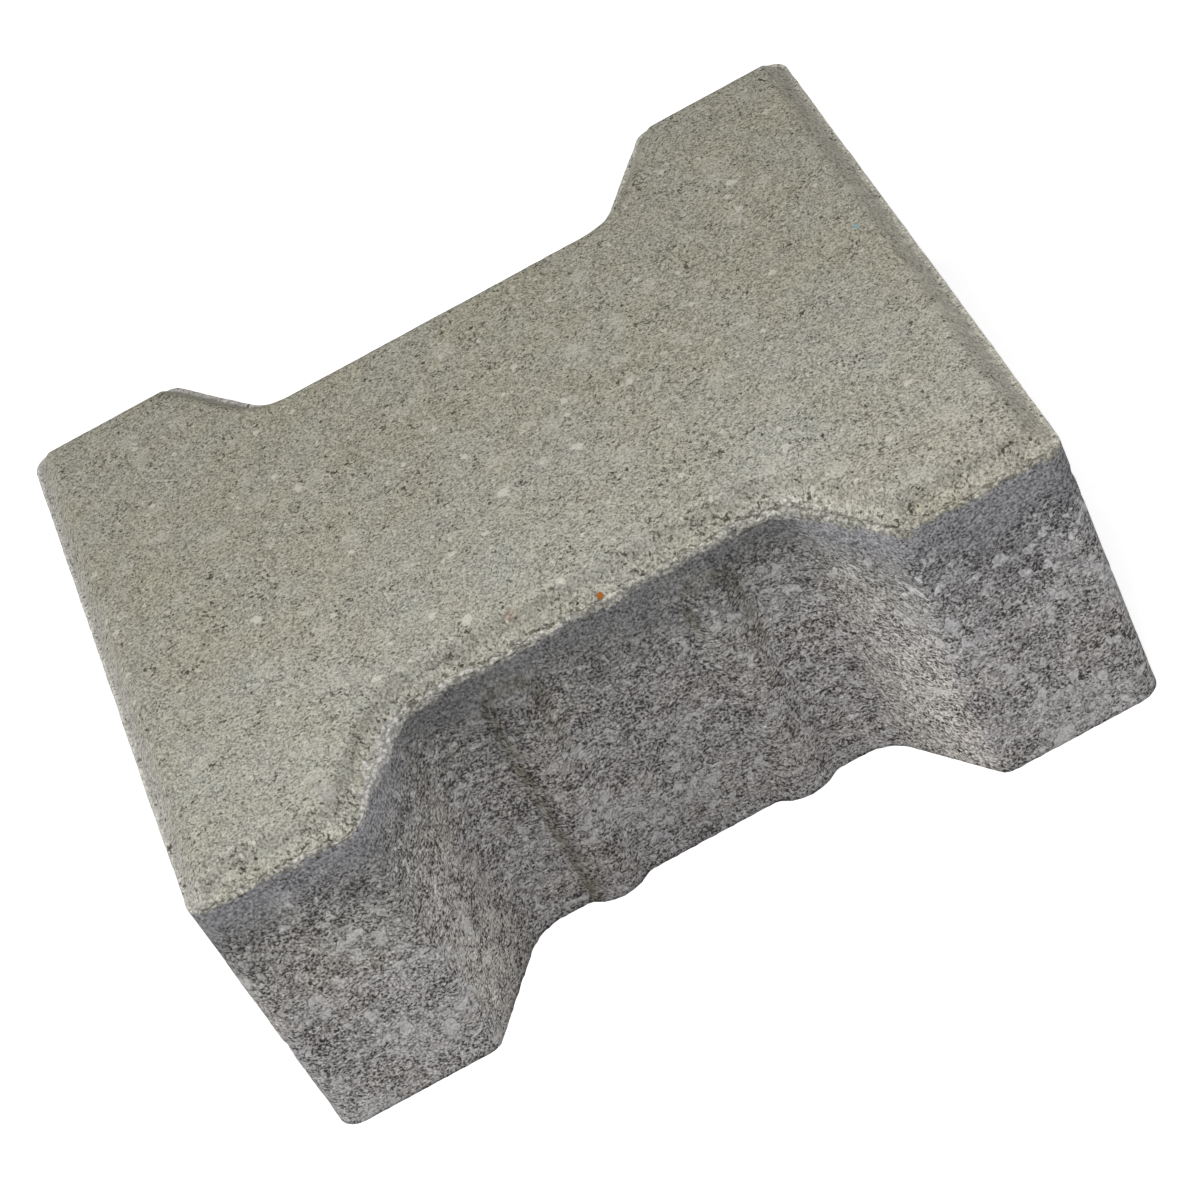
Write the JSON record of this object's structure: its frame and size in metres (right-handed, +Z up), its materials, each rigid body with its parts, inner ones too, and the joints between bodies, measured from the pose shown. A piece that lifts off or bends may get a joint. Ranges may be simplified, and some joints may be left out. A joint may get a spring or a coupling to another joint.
{
  "type": "concrete paving stone",
  "caption": "Double-T interlocking concrete paving stone with a sloping shoulder round its wearing face and spacer ribs on its waist.",
  "frame": {"origin": "centre of the bed face", "axes": "+X along the stone's length, +Y across its flanges, +Z up from the bed face to the wearing face"},
  "size_m": [0.197, 0.162, 0.08],
  "materials": {
    "concrete": "pressed grey concrete, fine sandy wearing face and coarser open-textured walls"
  },
  "bodies": {
    "root": {"paving_stone": "concrete"}
  },
  "joints": []
}
